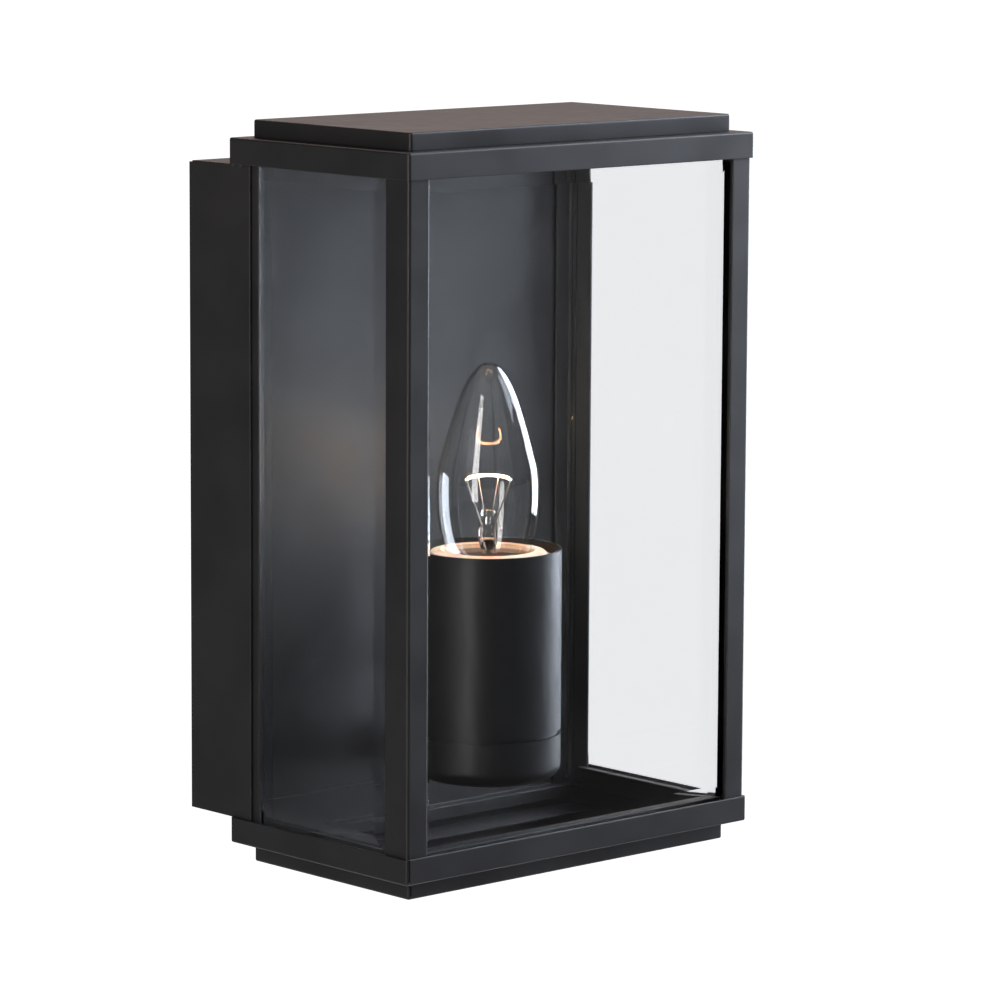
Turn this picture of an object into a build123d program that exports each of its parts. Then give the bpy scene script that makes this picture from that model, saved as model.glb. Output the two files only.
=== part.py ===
"""Outdoor wall lantern: a sheet-steel box lantern with bevelled panes and one candle lamp in a cup.

The lantern body (roof, base, posts, panes and the sides of the back box) is one soldered cage. It
slips forward off the wall unit: the wall plate, the back panel and the lamp cup, which stay put.

Millimetres. The origin is the middle of the wall face, +Z is up and -Y is the front.
"""
from math import copysign, cos, radians, sin
import os

from build123d import *

# ---- driving dimensions ------------------------------------------------------------------------
HEIGHT = 250.0             # whole lantern
CAP_WIDTH = 156.0          # widest tier of the roof and of the base
DEPTH = 112.0              # from the wall to the front of the tiers
CAP_BACK = -22.0           # rear edge of the tiers
SHEET = 0.8                # folded sheet
BEND = 1.0                 # outside radius of a fold
TIER_RISE_SMALL = 6.0      # roof_top
TIER_RISE_ROOF = 8.8       # roof_skirt
TIER_RISE_RIM = 8.6        # base_rim
TIER_RISE_PAN = 6.4        # base_pan
TIER_STEP = 5.75           # one tier stands in from the other by this
BODY_INSET = 0.8           # posts and box stand in from the wide tiers by this
BOX_FRONT = -31.9          # front edge of the sides of the back box
SEAM = 0.6                 # open corner seam of the base tiers

PANE_THICK = 4.0
PANE_EDGE = 3.0            # what the shallow bevel leaves at the edge
BEVEL = 10.0
PANE_LAP = 5.3             # how far a pane runs into the roof and into the base
PANE_SET_IN = 2.2          # outer face of a pane behind the outer face of the posts

PANEL_FRONT = -24.8        # front face of the back panel
SLIP = 0.4                 # gap all round between the cage and the wall unit
POST_FRONT_SIDE = 11.0     # flange widths of the angle posts
POST_FRONT_FACE = 8.6
POST_REAR_SIDE = 10.0
POST_REAR_BACK = 10.4

CUP_Y = -62.9              # axis of lamp and cup
CUP_R = 25.0
CUP_WALL = 1.0
CUP_TOP = -21.0
CUP_BOTTOM = -99.5
CUP_SEAM = -84.1           # top of the lower cup
SEAM_GROOVE = 1.4          # groove between the lower cup and the shroud
ARM_Z = -91.5              # the tube that carries the cup and its leads

LAMP_TIP = 42.3
LAMP_NECK = -34.5          # where the glass leaves the cap
THREAD_PITCH = 2.822       # E14 screw thread
THREAD_TURNS = 6
GLASS_WALL = 0.7
FILAMENT_TURN = -42.0      # angle at which the screwed-in lamp happens to stop

# ---- levels and faces worked out from them -----------------------------------------------------
TOP = HEIGHT / 2
SKIRT_TOP = TOP - TIER_RISE_SMALL
SKIRT_LOW = SKIRT_TOP - TIER_RISE_ROOF
BOTTOM = -HEIGHT / 2
RIM_LOW = BOTTOM + TIER_RISE_PAN
RIM_TOP = RIM_LOW + TIER_RISE_RIM
HALF = CAP_WIDTH / 2
BODY_HALF = HALF - BODY_INSET
BODY_FRONT = -DEPTH + BODY_INSET
BOX_INNER = BODY_HALF - SHEET
TRAY_HALF = BOX_INNER - SLIP
TRAY_TOP = SKIRT_LOW - SHEET - SLIP
TRAY_LOW = RIM_TOP + SHEET + SLIP
PANE_TOP = SKIRT_LOW + PANE_LAP
PANE_LOW = RIM_TOP - PANE_LAP
POST_TOP = SKIRT_TOP - SHEET
POST_LOW = RIM_LOW + SHEET
CAGE_BACK = PANEL_FRONT - 0.3    # rear face of the posts and of the rear rail
SIDE_PANE_OUT = BODY_HALF - PANE_SET_IN
FRONT_PANE_OUT = BODY_FRONT + PANE_SET_IN
FRONT_PANE_HALF = 75.8     # the front pane covers the front edges of the side panes
SIDE_PANE_BACK = -26.4
SIDE_PANE_FRONT = -102.0

LAMP_AXIS = Axis((0, CUP_Y, 0), (0, 0, 1))
LAMP_PLANE = Plane(origin=(0, CUP_Y, 0), x_dir=(1, 0, 0), z_dir=(0, -1, 0))

os.makedirs("parts", exist_ok=True)


def save(part, label):
    part.label = label
    export_step(part, f"parts/{label}.step")


def block(x0, x1, y0, y1, z0, z1, mode=Mode.ADD):
    """A rectangular solid between two corners, added to or cut from the open part."""
    with Locations(((x0 + x1) / 2, (y0 + y1) / 2, (z0 + z1) / 2)):
        Box(abs(x1 - x0), abs(y1 - y0), abs(z1 - z0), mode=mode)


def rod_y(x, z, y0, y1, radius, mode=Mode.ADD):
    """A round rod along Y, added to or cut from the open part."""
    with Locations(Location((x, (y0 + y1) / 2, z), (90, 0, 0))):
        Cylinder(radius, abs(y1 - y0), mode=mode)


def turned(points):
    """A solid of revolution about the lamp's axis, from (radius, height) points."""
    with BuildPart() as piece:
        with BuildSketch(LAMP_PLANE):
            with BuildLine():
                Polyline(*points, close=True)
            make_face()
        revolve(axis=LAMP_AXIS)
    return piece.part


# ---- roof and base: folded tiers ---------------------------------------------------------------
def folded_tier(half, back, front, z_open, z_closed, opening=None, seam=False):
    """A shallow folded tray, open at z_open. Its closed side may have a rectangular opening."""
    rise = z_closed - z_open
    middle = (back + front) / 2
    depth = back - front
    with BuildPart() as tier:
        with BuildSketch(Plane.XY.offset(z_open)):
            with Locations((0, middle)):
                RectangleRounded(2 * half, depth, BEND)
        extrude(amount=rise)
        closed_edges = tier.edges().group_by(Axis.Z)[-1 if rise > 0 else 0]
        fillet(closed_edges, BEND * 0.7)
        with BuildSketch(Plane.XY.offset(z_open)):
            with Locations((0, middle)):
                RectangleRounded(2 * (half - SHEET), depth - 2 * SHEET, BEND * 0.4)
        extrude(amount=rise - copysign(SHEET, rise), mode=Mode.SUBTRACT)
        if opening:
            x_half, y_back, y_front = opening
            block(-x_half, x_half, y_front, y_back, z_closed - rise / 2, z_closed + rise / 2,
                  mode=Mode.SUBTRACT)
        if seam:
            block(-half + SHEET, -half + SHEET + SEAM, front - 0.1, front + SHEET,
                  z_open, z_closed - copysign(BEND, rise), mode=Mode.SUBTRACT)
    return tier.part


small_half = HALF - TIER_STEP
small_back = CAP_BACK - TIER_STEP
small_front = -DEPTH + TIER_STEP
small_opening = (small_half - SHEET, small_back - SHEET, small_front + SHEET)

save(folded_tier(small_half, small_back, small_front, SKIRT_TOP, TOP), "roof_top")
save(folded_tier(HALF, CAP_BACK, -DEPTH, SKIRT_LOW, SKIRT_TOP, small_opening), "roof_skirt")
save(folded_tier(HALF, CAP_BACK, -DEPTH, RIM_TOP, RIM_LOW, small_opening, seam=True), "base_rim")
save(folded_tier(small_half, small_back, small_front, RIM_LOW, BOTTOM, seam=True), "base_pan")


# ---- glazing beads: they hold the panes from inside, hidden in the roof and in the base ---------
def glazing_bead(z_plate, z_lip, flange):
    """A three-sided angle bead behind the panes, from the tier's plate to its own inward flange."""
    side = SIDE_PANE_OUT - PANE_THICK - 0.2
    front = FRONT_PANE_OUT + PANE_THICK + 0.2
    back = CAGE_BACK - POST_REAR_SIDE - 1.0
    inward = copysign(SHEET, z_lip - z_plate)
    with BuildPart() as bead:
        block(-side, side, front, front + SHEET, z_plate, z_lip)
        for hand in (-1, 1):
            block(hand * (side - SHEET), hand * side, front, back, z_plate, z_lip)
            block(hand * (side - 2.5), hand * side, front, back, z_lip - inward, z_lip)
        block(-side, side, front, front + flange, z_lip - inward, z_lip)
    return bead.part


save(glazing_bead(POST_LOW, RIM_TOP, 7.0), "base_bead")
save(glazing_bead(POST_TOP, SKIRT_LOW + 2.5, 4.0), "roof_bead")

# The rear rail crosses the cage in front of the back panel. Its lip hangs down into the pan.
with BuildPart() as rear_rail:
    rail_half = BODY_HALF - PANE_SET_IN - POST_REAR_BACK
    block(-rail_half, rail_half, CAGE_BACK, CAGE_BACK - SHEET, POST_LOW, RIM_TOP + 4.5)
    block(-rail_half, rail_half, CAGE_BACK, -30.8, POST_LOW, POST_LOW + SHEET)
    block(-rail_half, rail_half, -30.0, -30.8, POST_LOW + SHEET, POST_LOW - 3.7)
save(rear_rail.part, "rear_rail")


# ---- angle posts -------------------------------------------------------------------------------
def angle_post(x_corner, y_corner, x_flange, y_flange):
    """An angle with its outside corner at (x_corner, y_corner). Signed flange lengths."""
    with BuildPart() as post:
        with BuildSketch(Plane.XY.offset(POST_LOW)):
            with BuildLine():
                x_in = x_corner + copysign(SHEET, x_flange)
                y_in = y_corner + copysign(SHEET, y_flange)
                Polyline(
                    (x_corner, y_corner),
                    (x_corner + x_flange, y_corner),
                    (x_corner + x_flange, y_in),
                    (x_in, y_in),
                    (x_in, y_corner + y_flange),
                    (x_corner, y_corner + y_flange),
                    close=True,
                )
            make_face()
        extrude(amount=POST_TOP - POST_LOW)
        corner_edge = post.edges().filter_by(Axis.Z).sort_by_distance((x_corner, y_corner, 0))[0]
        fillet(corner_edge, BEND)
    return post.part


rear_corner = SIDE_PANE_OUT + 1.1
for side_name, hand in (("left", -1), ("right", 1)):
    save(angle_post(hand * BODY_HALF, BODY_FRONT, -hand * POST_FRONT_FACE, POST_FRONT_SIDE),
         f"post_front_{side_name}")
    save(angle_post(hand * rear_corner, CAGE_BACK, -hand * POST_REAR_BACK, -POST_REAR_SIDE),
         f"post_rear_{side_name}")

# ---- sides of the back box: a four-sided frame, open at the wall and at the front ---------------
with BuildPart() as back_box:
    box_rear = -0.4
    block(-BODY_HALF, BODY_HALF, box_rear, BOX_FRONT, RIM_TOP, SKIRT_LOW)
    block(-BOX_INNER, BOX_INNER, 1, BOX_FRONT - 1, RIM_TOP + SHEET, SKIRT_LOW - SHEET,
          mode=Mode.SUBTRACT)
    for z0, z1 in ((SKIRT_LOW - SHEET, SKIRT_LOW + 1), (RIM_TOP - 1, RIM_TOP + SHEET)):
        block(-BOX_INNER, BOX_INNER, CAGE_BACK + 0.2, BOX_FRONT - 1, z0, z1, mode=Mode.SUBTRACT)
    block(-HALF, HALF, 0, box_rear - 1.6, SKIRT_LOW - 0.5, SKIRT_LOW + 1, mode=Mode.SUBTRACT)
    body_screw_spots = [(-50, -12), (50, -12)]
    with Locations(*[(x, y, RIM_TOP) for x, y in body_screw_spots]):
        Cylinder(2.1, 4, mode=Mode.SUBTRACT)
save(back_box.part, "back_box")

# Two pan-head screws clamp the cage to the bottom flange of the back panel from below.
with BuildPart() as body_screws:
    head_low = RIM_TOP - 2.4
    for x, y in body_screw_spots:
        with Locations((x, y, head_low)):
            Cylinder(3.6, 2.4, align=(Align.CENTER, Align.CENTER, Align.MIN))
            Cylinder(1.95, 3.3, align=(Align.CENTER, Align.CENTER, Align.MIN))
            Box(5.0, 0.9, 1.8, mode=Mode.SUBTRACT)
            Box(0.9, 5.0, 1.8, mode=Mode.SUBTRACT)
save(body_screws.part, "body_screws")


# ---- panes -------------------------------------------------------------------------------------
def bevelled_pane(plane, width, height):
    """Flat glass, bevelled all round on the side that the plane's normal points to."""
    with BuildPart() as pane:
        with BuildSketch(plane):
            Rectangle(width, height)
        extrude(amount=PANE_EDGE)
        with BuildSketch(plane.offset(PANE_EDGE)):
            Rectangle(width, height)
        with BuildSketch(plane.offset(PANE_THICK)):
            Rectangle(width - 2 * BEVEL, height - 2 * BEVEL)
        loft(ruled=True)
    return pane.part


pane_height = PANE_TOP - PANE_LOW
pane_middle = (PANE_TOP + PANE_LOW) / 2
front_plane = Plane(origin=(0, FRONT_PANE_OUT + PANE_THICK, pane_middle),
                    x_dir=(1, 0, 0), z_dir=(0, -1, 0))
save(bevelled_pane(front_plane, 2 * FRONT_PANE_HALF, pane_height), "glass_front")
side_width = SIDE_PANE_BACK - SIDE_PANE_FRONT
side_middle = (SIDE_PANE_BACK + SIDE_PANE_FRONT) / 2
for side_name, hand in (("left", -1), ("right", 1)):
    side_plane = Plane(origin=(hand * (SIDE_PANE_OUT - PANE_THICK), side_middle, pane_middle),
                       x_dir=(0, hand, 0), z_dir=(hand, 0, 0))
    save(bevelled_pane(side_plane, side_width, pane_height), f"glass_{side_name}")

# Strips of black silicone bed the panes' upright edges against the posts.
seal_z0, seal_z1 = PANE_LOW + 1, PANE_TOP - 1
front_edge_face = FRONT_PANE_OUT + PANE_THICK - PANE_EDGE
side_edge_face = SIDE_PANE_OUT - PANE_THICK + PANE_EDGE
with BuildPart() as seal_front:
    for hand in (-1, 1):
        block(hand * (FRONT_PANE_HALF - 1.6), hand * FRONT_PANE_HALF,
              BODY_FRONT + SHEET, front_edge_face - 0.5, seal_z0, seal_z1)
save(seal_front.part, "seal_front")
for side_name, hand in (("left", -1), ("right", 1)):
    with BuildPart() as side_seal:
        block(hand * (side_edge_face + 0.5), hand * (BODY_HALF - SHEET),
              SIDE_PANE_FRONT, SIDE_PANE_FRONT + 1.4, seal_z0, seal_z1)
        block(hand * (side_edge_face + 0.5), hand * (rear_corner - SHEET),
              SIDE_PANE_BACK, SIDE_PANE_BACK - 1.6, seal_z0, seal_z1)
    save(side_seal.part, f"seal_{side_name}")

# ---- wall unit: gasket, wall plate, back panel -------------------------------------------------
GASKET = 1.0
PLATE = 1.5
PLATE_HALF_X, PLATE_HALF_Z = 70.0, 62.0
SLOT_X, SLOT_Z, SLOT_LENGTH, SLOT_R = 50.0, 45.0, 12.0, 2.6
ENTRY_Z = 44.0
ENTRY_R = 7.0
plate_front = -GASKET - PLATE
EAR_Z = 12.0
EAR_FRONT = -15.0
PANEL_SCREW_Y = -9.0
EARTH_X, EARTH_Z = 30.0, -10.0

with BuildPart() as wall_gasket:
    with BuildSketch(Plane.XZ):
        RectangleRounded(2 * PLATE_HALF_X, 2 * PLATE_HALF_Z, 4)
        with GridLocations(2 * SLOT_X, 2 * SLOT_Z, 2, 2):
            SlotOverall(SLOT_LENGTH + 3, 2 * SLOT_R + 3, mode=Mode.SUBTRACT)
        with Locations((0, ENTRY_Z)):
            Circle(ENTRY_R + 3.5, mode=Mode.SUBTRACT)
        with Locations((EARTH_X, EARTH_Z)):
            Circle(3.5, mode=Mode.SUBTRACT)
    extrude(amount=GASKET)
save(wall_gasket.part, "wall_gasket")

with BuildPart() as wall_plate:
    with BuildSketch(Plane.XZ.offset(GASKET)):
        RectangleRounded(2 * PLATE_HALF_X, 2 * PLATE_HALF_Z, 4)
        with GridLocations(2 * SLOT_X, 2 * SLOT_Z, 2, 2):
            SlotOverall(SLOT_LENGTH, 2 * SLOT_R, mode=Mode.SUBTRACT)
        with Locations((0, ENTRY_Z)):
            Circle(ENTRY_R, mode=Mode.SUBTRACT)
        with Locations((EARTH_X, EARTH_Z)):
            Circle(2.05, mode=Mode.SUBTRACT)
    extrude(amount=PLATE)
save(wall_plate.part, "wall_plate")

# An angle spot-welded to each side of the wall plate takes the back panel's screw.
with BuildPart() as plate_ears:
    ear_out = TRAY_HALF - SHEET
    for hand in (-1, 1):
        block(hand * PLATE_HALF_X, hand * ear_out, -GASKET, plate_front, -EAR_Z, EAR_Z)
        block(hand * (ear_out - PLATE), hand * ear_out, plate_front, EAR_FRONT, -EAR_Z, EAR_Z)
        with Locations(Location((hand * ear_out, PANEL_SCREW_Y, 0), (0, 90, 0))):
            Cylinder(1.55, 8, mode=Mode.SUBTRACT)
save(plate_ears.part, "plate_ears")

# The back panel is a tray: the face behind the lamp, with flanges back to the wall.
with BuildPart() as back_panel:
    tray_rear = -1.2
    block(-TRAY_HALF, TRAY_HALF, tray_rear, PANEL_FRONT, TRAY_LOW, TRAY_TOP)
    front_edges = back_panel.faces().sort_by(Axis.Y)[0].edges()
    fillet(front_edges, BEND)
    block(-TRAY_HALF + SHEET, TRAY_HALF - SHEET, 1, PANEL_FRONT + SHEET,
          TRAY_LOW + SHEET, TRAY_TOP - SHEET, mode=Mode.SUBTRACT)
    rod_y(0, ARM_Z, PANEL_FRONT - 1, PANEL_FRONT + 2, 4.05, mode=Mode.SUBTRACT)
    with Locations(*[(x, y, TRAY_LOW) for x, y in body_screw_spots]):
        Cylinder(1.7, 4, mode=Mode.SUBTRACT)
    for hand in (-1, 1):
        with Locations(Location((hand * TRAY_HALF, PANEL_SCREW_Y, 0), (0, 90, 0))):
            Cylinder(1.55, 4, mode=Mode.SUBTRACT)
            Cylinder(3.05, 0.8, mode=Mode.SUBTRACT)
save(back_panel.part, "back_panel")

with BuildPart() as panel_screws:
    for hand in (-1, 1):
        with Locations(Location((hand * (TRAY_HALF - 0.2), PANEL_SCREW_Y, 0), (0, 90, 0))):
            Cylinder(2.95, 0.38)
        with Locations(Location((hand * (TRAY_HALF - 3.2), PANEL_SCREW_Y, 0), (0, 90, 0))):
            Cylinder(1.5, 5.8)
save(panel_screws.part, "panel_screws")

with BuildPart() as cable_grommet:
    rod_y(0, ENTRY_Z, -0.1, -GASKET, ENTRY_R + 2.5)
    rod_y(0, ENTRY_Z, -GASKET, plate_front, ENTRY_R)
    rod_y(0, ENTRY_Z, plate_front, plate_front - 2.5, ENTRY_R + 2.5)
    rod_y(0, ENTRY_Z, 1, -8, 4.0, mode=Mode.SUBTRACT)
save(cable_grommet.part, "cable_grommet")

# ---- terminal block, earth screw and internal leads --------------------------------------------
BLOCK_Z, BLOCK_HALF_X, BLOCK_HALF_Z, BLOCK_DEEP = 18.0, 15.0, 8.0, 12.0
WAY_PITCH = 9.5
tube_y = plate_front - 6.0
ways = [-WAY_PITCH, 0.0, WAY_PITCH]

with BuildPart() as terminal_block:
    block(-BLOCK_HALF_X, BLOCK_HALF_X, plate_front, plate_front - BLOCK_DEEP,
          BLOCK_Z - BLOCK_HALF_Z, BLOCK_Z + BLOCK_HALF_Z)
    fillet(terminal_block.edges().filter_by(Axis.Y), 1.0)
    for x in ways:
        with Locations((x, tube_y, BLOCK_Z)):
            Cylinder(2.6, 2 * BLOCK_HALF_Z + 2, mode=Mode.SUBTRACT)
        for z in (BLOCK_Z - 4, BLOCK_Z + 4):
            rod_y(x, z, tube_y, plate_front - BLOCK_DEEP - 1, 2.1, mode=Mode.SUBTRACT)
save(terminal_block.part, "terminal_block")

with BuildPart() as terminal_tubes:
    for x in ways:
        with Locations((x, tube_y, BLOCK_Z)):
            Cylinder(2.55, 2 * BLOCK_HALF_Z - 2)
            Cylinder(1.5, 2 * BLOCK_HALF_Z, mode=Mode.SUBTRACT)
        for z in (BLOCK_Z - 4, BLOCK_Z + 4):
            rod_y(x, z, tube_y - 1, tube_y - 4, 1.32, mode=Mode.SUBTRACT)
save(terminal_tubes.part, "terminal_tubes")

with BuildPart() as terminal_screws:
    for x in ways:
        for z in (BLOCK_Z - 4, BLOCK_Z + 4):
            rod_y(x, z, tube_y - 1.6, tube_y - 2.9, 1.25)
            rod_y(x, z, tube_y - 2.9, tube_y - 5.0, 1.9)
            block(x - 0.3, x + 0.3, tube_y - 4.2, tube_y - 6, z - 2, z + 2, mode=Mode.SUBTRACT)
save(terminal_screws.part, "terminal_screws")

with BuildPart() as earth_screw:
    rod_y(EARTH_X, EARTH_Z, -0.4, plate_front - 1.0, 2.0)
    rod_y(EARTH_X, EARTH_Z, plate_front - 1.0, plate_front - 3.4, 3.8)
    block(EARTH_X - 4, EARTH_X + 4, plate_front - 2.4, plate_front - 4, EARTH_Z - 0.4, EARTH_Z + 0.4,
          mode=Mode.SUBTRACT)
save(earth_screw.part, "earth_screw")

LEAD_R = 1.0


def lead(points, radii):
    """An insulated lead swept along straight runs joined by arcs."""
    with BuildPart() as wire:
        with BuildLine():
            route = FilletPolyline(*points, radius=radii)
        with BuildSketch(Plane(origin=route @ 0, z_dir=route % 0)):
            Circle(LEAD_R)
        sweep()
    return wire.part


way_low = BLOCK_Z - BLOCK_HALF_Z + 1.0
holder_r = 13.8
holder_rear = CUP_Y + holder_r
for lead_name, hand in (("live_lead", -1), ("neutral_lead", 1)):
    start_x = 0.0 if hand > 0 else -WAY_PITCH
    lane = hand * 1.15
    route_points = [
        (start_x, tube_y, way_low + 1),
        (start_x, tube_y, -16),
        (lane + hand * 3.5, tube_y - 3.5, -52),
        (lane, tube_y - 5.0, ARM_Z),
        (lane, holder_rear, ARM_Z),
    ]
    save(lead(route_points, [14, 24, 8.5]), lead_name)

with BuildPart() as earth_tag:
    block(EARTH_X - 8.5, EARTH_X + 4, plate_front, plate_front - 1.0, EARTH_Z - 3, EARTH_Z + 3)
    rod_y(EARTH_X, EARTH_Z, plate_front + 1, plate_front - 2, 2.05, mode=Mode.SUBTRACT)
save(earth_tag.part, "earth_tag")
earth_points = [
    (WAY_PITCH, tube_y, way_low + 1),
    (WAY_PITCH, tube_y, 2),
    (20, tube_y, EARTH_Z),
    (EARTH_X - 4.5, plate_front - 1.2 - LEAD_R, EARTH_Z),
]
save(lead(earth_points, [5, 6]), "earth_lead")

# ---- lamp cup and its arm ----------------------------------------------------------------------
BASE_FILLET = 5.0
SPIGOT = 5.0
inner = CUP_R - CUP_WALL
with BuildPart() as cup_base:
    with BuildSketch(LAMP_PLANE):
        with BuildLine():
            Line((0, CUP_BOTTOM), (CUP_R - BASE_FILLET, CUP_BOTTOM))
            RadiusArc((CUP_R - BASE_FILLET, CUP_BOTTOM), (CUP_R, CUP_BOTTOM + BASE_FILLET),
                      -BASE_FILLET)
            Polyline(
                (CUP_R, CUP_BOTTOM + BASE_FILLET),
                (CUP_R, CUP_SEAM),
                (inner - 0.1, CUP_SEAM),
                (inner - 0.1, CUP_SEAM + SPIGOT),
                (inner - CUP_WALL, CUP_SEAM + SPIGOT),
                (inner - CUP_WALL, CUP_SEAM),
                (inner, CUP_SEAM - CUP_WALL),
                (inner, CUP_BOTTOM + BASE_FILLET),
            )
            RadiusArc((inner, CUP_BOTTOM + BASE_FILLET),
                      (CUP_R - BASE_FILLET, CUP_BOTTOM + CUP_WALL), BASE_FILLET - CUP_WALL)
            Polyline((CUP_R - BASE_FILLET, CUP_BOTTOM + CUP_WALL), (0, CUP_BOTTOM + CUP_WALL),
                     (0, CUP_BOTTOM))
        make_face()
    revolve(axis=LAMP_AXIS)
    rod_y(0, ARM_Z, CUP_Y + 15, CUP_Y + 30, 4.05, mode=Mode.SUBTRACT)
    with Locations((-8, CUP_Y, CUP_BOTTOM), (8, CUP_Y, CUP_BOTTOM)):
        Cylinder(1.6, 4, mode=Mode.SUBTRACT)
save(cup_base.part, "cup_base")

LEDGE_TOP = -25.3
save(turned([
    (CUP_R, CUP_SEAM + SEAM_GROOVE), (CUP_R, CUP_TOP), (inner, CUP_TOP), (inner, LEDGE_TOP),
    (inner - 1.4, LEDGE_TOP), (inner - 1.4, LEDGE_TOP - 1.0), (inner, LEDGE_TOP - 2.2),
    (inner, CUP_SEAM + SEAM_GROOVE),
]), "cup_shroud")

with BuildPart() as lamp_arm:
    rod_y(0, ARM_Z, -19.5, CUP_Y + 18.4, 4.0)
    rod_y(0, ARM_Z, -19, CUP_Y + 18, 2.9, mode=Mode.SUBTRACT)
    rod_y(0, ARM_Z, 0, -80, 2.9, mode=Mode.SUBTRACT)
save(lamp_arm.part, "lamp_arm")

with BuildPart() as arm_spacer:
    rod_y(0, ARM_Z, PANEL_FRONT, CUP_Y + CUP_R + 0.6, 6.0)
    rod_y(0, ARM_Z, 0, -80, 4.05, mode=Mode.SUBTRACT)
    with Locations((0, CUP_Y, ARM_Z)):
        Cylinder(CUP_R, 30, mode=Mode.SUBTRACT)
save(arm_spacer.part, "arm_spacer")

with BuildPart() as arm_nuts:
    for y0 in (PANEL_FRONT + SHEET + 3.2, CUP_Y + 21.9):
        with BuildSketch(Plane.XZ.offset(-y0)):
            with Locations((0, ARM_Z)):
                RegularPolygon(5.0, 6, major_radius=False)
                Circle(4.05, mode=Mode.SUBTRACT)
        extrude(amount=2.5 if y0 < -30 else 3.2)
save(arm_nuts.part, "arm_nuts")

# ---- lampholder --------------------------------------------------------------------------------
HOLDER_TOP = -36.0
BORE_LOW = -62.5
SHELL_OUT = 8.0
with BuildPart() as lampholder_body:
    add(turned([
        (0, CUP_BOTTOM + CUP_WALL), (holder_r, CUP_BOTTOM + CUP_WALL), (holder_r, -60),
        (holder_r - 1.2, -58.8), (holder_r - 1.2, HOLDER_TOP - 1), (holder_r - 2.2, HOLDER_TOP),
        (SHELL_OUT + 0.4, HOLDER_TOP), (SHELL_OUT + 0.4, BORE_LOW), (0, BORE_LOW),
    ]))
    with Locations((-8, CUP_Y, CUP_BOTTOM), (8, CUP_Y, CUP_BOTTOM)):
        Cylinder(1.55, 17, mode=Mode.SUBTRACT)
save(lampholder_body.part, "lampholder_body")
save(turned([(7.3, -60.5), (SHELL_OUT, -60.5), (SHELL_OUT, -37.5), (7.3, -37.5)]), "thread_shell")
with BuildPart() as centre_contact:
    with BuildSketch(LAMP_PLANE):
        with BuildLine():
            Polyline((-6, BORE_LOW), (-3, BORE_LOW), (-0.5, -61.2), (2.5, -61.2), (2.5, -60.8),
                     (-0.8, -60.8), (-3.3, BORE_LOW + 0.4), (-6, BORE_LOW + 0.4), close=True)
        make_face()
    extrude(amount=2.5, both=True)
save(centre_contact.part, "centre_contact")

with BuildPart() as holder_screws:
    for x in (-8, 8):
        with Locations((x, CUP_Y, CUP_BOTTOM - 1.8)):
            Cylinder(2.8, 1.8, align=(Align.CENTER, Align.CENTER, Align.MIN))
            Cylinder(1.5, 9.6, align=(Align.CENTER, Align.CENTER, Align.MIN))
            Box(4.0, 0.8, 1.6, mode=Mode.SUBTRACT)
            Box(0.8, 4.0, 1.6, mode=Mode.SUBTRACT)
save(holder_screws.part, "holder_screws")

# The silicone ring seals the mouth of the cup round the glass and rises with the lamp. Its raised
# collar grips the glass, and its thin flange rests on the ledge in the cup.
save(turned([
    (15.6, -21.9), (16.2, -21.4), (17.4, -21.8), (19.4, -22.1), (20.0, -22.7), (20.2, -24.2),
    (23.6, -24.4), (23.6, -25.0), (17.0, -25.0), (15.6, -23.4),
]), "seal_ring")

# ---- candle lamp -------------------------------------------------------------------------------
CAP_R = 6.95
CAP_ROOT = 6.45
CAP_BORE = 6.1
glass_outer = [(6.6, -33.2), (13.4, -24.5), (17.55, -3.6), (15.2, 13.5), (9.6, 31.3), (5.4, 39.2)]
tip_in = LAMP_TIP - GLASS_WALL
with BuildPart() as bulb_glass:
    with BuildSketch(LAMP_PLANE):
        with BuildLine():
            Spline(*glass_outer, (0, LAMP_TIP), tangents=[(0.4, 1), (-1, 0)],
                   tangent_scalars=[0.6, 0.35])
            Line((0, LAMP_TIP), (0, tip_in))
            inner_points = [(r - GLASS_WALL, z) for r, z in glass_outer]
            Spline((0, tip_in), *reversed(inner_points), tangents=[(1, 0), (-0.4, -1)],
                   tangent_scalars=[0.35, 0.6])
            Polyline(inner_points[0], (5.3, LAMP_NECK), (5.3, LAMP_NECK - 3.5),
                     (6.0, LAMP_NECK - 3.5), (6.0, LAMP_NECK), glass_outer[0])
        make_face()
    revolve(axis=LAMP_AXIS)
save(bulb_glass.part, "bulb_glass")

with BuildPart() as bulb_cap:
    thread_top = LAMP_NECK - 2.5
    thread_low = thread_top - THREAD_TURNS * THREAD_PITCH
    with BuildSketch(LAMP_PLANE):
        with BuildLine():
            Polyline((CAP_BORE, LAMP_NECK), (CAP_R, LAMP_NECK), (CAP_R, thread_top + 0.6),
                     (CAP_ROOT, thread_top))
            for turn in range(THREAD_TURNS):
                z = thread_top - turn * THREAD_PITCH
                ThreePointArc((CAP_ROOT, z), (CAP_R, z - THREAD_PITCH / 2),
                              (CAP_ROOT, z - THREAD_PITCH))
            Polyline((CAP_ROOT, thread_low), (CAP_ROOT, thread_low - 1.2), (4.6, thread_low - 3.2),
                     (4.2, thread_low - 3.2), (CAP_BORE, thread_low - 1.0), (CAP_BORE, LAMP_NECK))
        make_face()
    revolve(axis=LAMP_AXIS)
save(bulb_cap.part, "bulb_cap")
cap_low = thread_low - 3.2
save(turned([(0, cap_low + 0.8), (3.9, cap_low + 0.8), (4.15, cap_low), (4.4, cap_low),
             (2.6, cap_low - 1.8), (0, cap_low - 1.8)]), "bulb_insulator")
save(turned([(0, cap_low - 1.8), (2.4, cap_low - 1.8), (1.9, cap_low - 2.8), (0.8, cap_low - 3.2),
             (0, cap_low - 3.2)]), "bulb_contact")

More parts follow.
